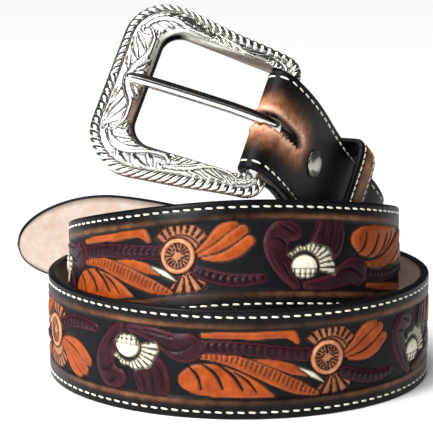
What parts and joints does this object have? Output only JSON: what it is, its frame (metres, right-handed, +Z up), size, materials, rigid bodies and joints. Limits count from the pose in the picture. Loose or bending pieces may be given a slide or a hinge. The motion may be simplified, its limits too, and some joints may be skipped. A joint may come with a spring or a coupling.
{
  "type": "coiled western belt",
  "caption": "Tooled leather belt coiled up on its edge, with a folded buckle end, keeper loop, snaps, cast rope-edged buckle and a prong that swings on its bar.",
  "frame": {"origin": "middle of the belt's box, on the surface that the coil stands on", "axes": "+Z up along the coil's axis, -Y to the side that the buckle faces, +X to the right as seen from that side, away from the tip"},
  "size_m": [0.1606, 0.142, 0.1367],
  "materials": {
    "strap_leather": "tooled, dyed and waxed leather, black rims round a carved and painted panel",
    "keeper_leather": "brown leather with black edges",
    "antiqued_silver": "cast metal, silver plated and antiqued dark in its recesses",
    "plated_steel": "smooth silver-plated rod",
    "snap_metal": "pressed nickel-plated metal"
  },
  "bodies": {
    "strap": {"strap": "strap_leather", "keeper_loop": "keeper_leather", "snap_1_cap": "snap_metal", "snap_1_back": "snap_metal", "snap_2_cap": "snap_metal", "snap_2_back": "snap_metal"},
    "buckle": {"buckle_frame": "antiqued_silver"},
    "prong": {"buckle_prong": "plated_steel"}
  },
  "joints": [
    {"name": "buckle_on_bar", "type": "hinge", "parent": "strap", "child": "buckle", "pos_m": [0.01985, -0.04392, 0.09639], "axis": [0.2973, 0.5146, 0.8042], "range_deg": [-31, 94]},
    {"name": "prong_on_bar", "type": "hinge", "parent": "buckle", "child": "prong", "pos_m": [0.01985, -0.04392, 0.09639], "axis": [0.2973, 0.5146, 0.8042], "range_deg": [0, 80]}
  ]
}
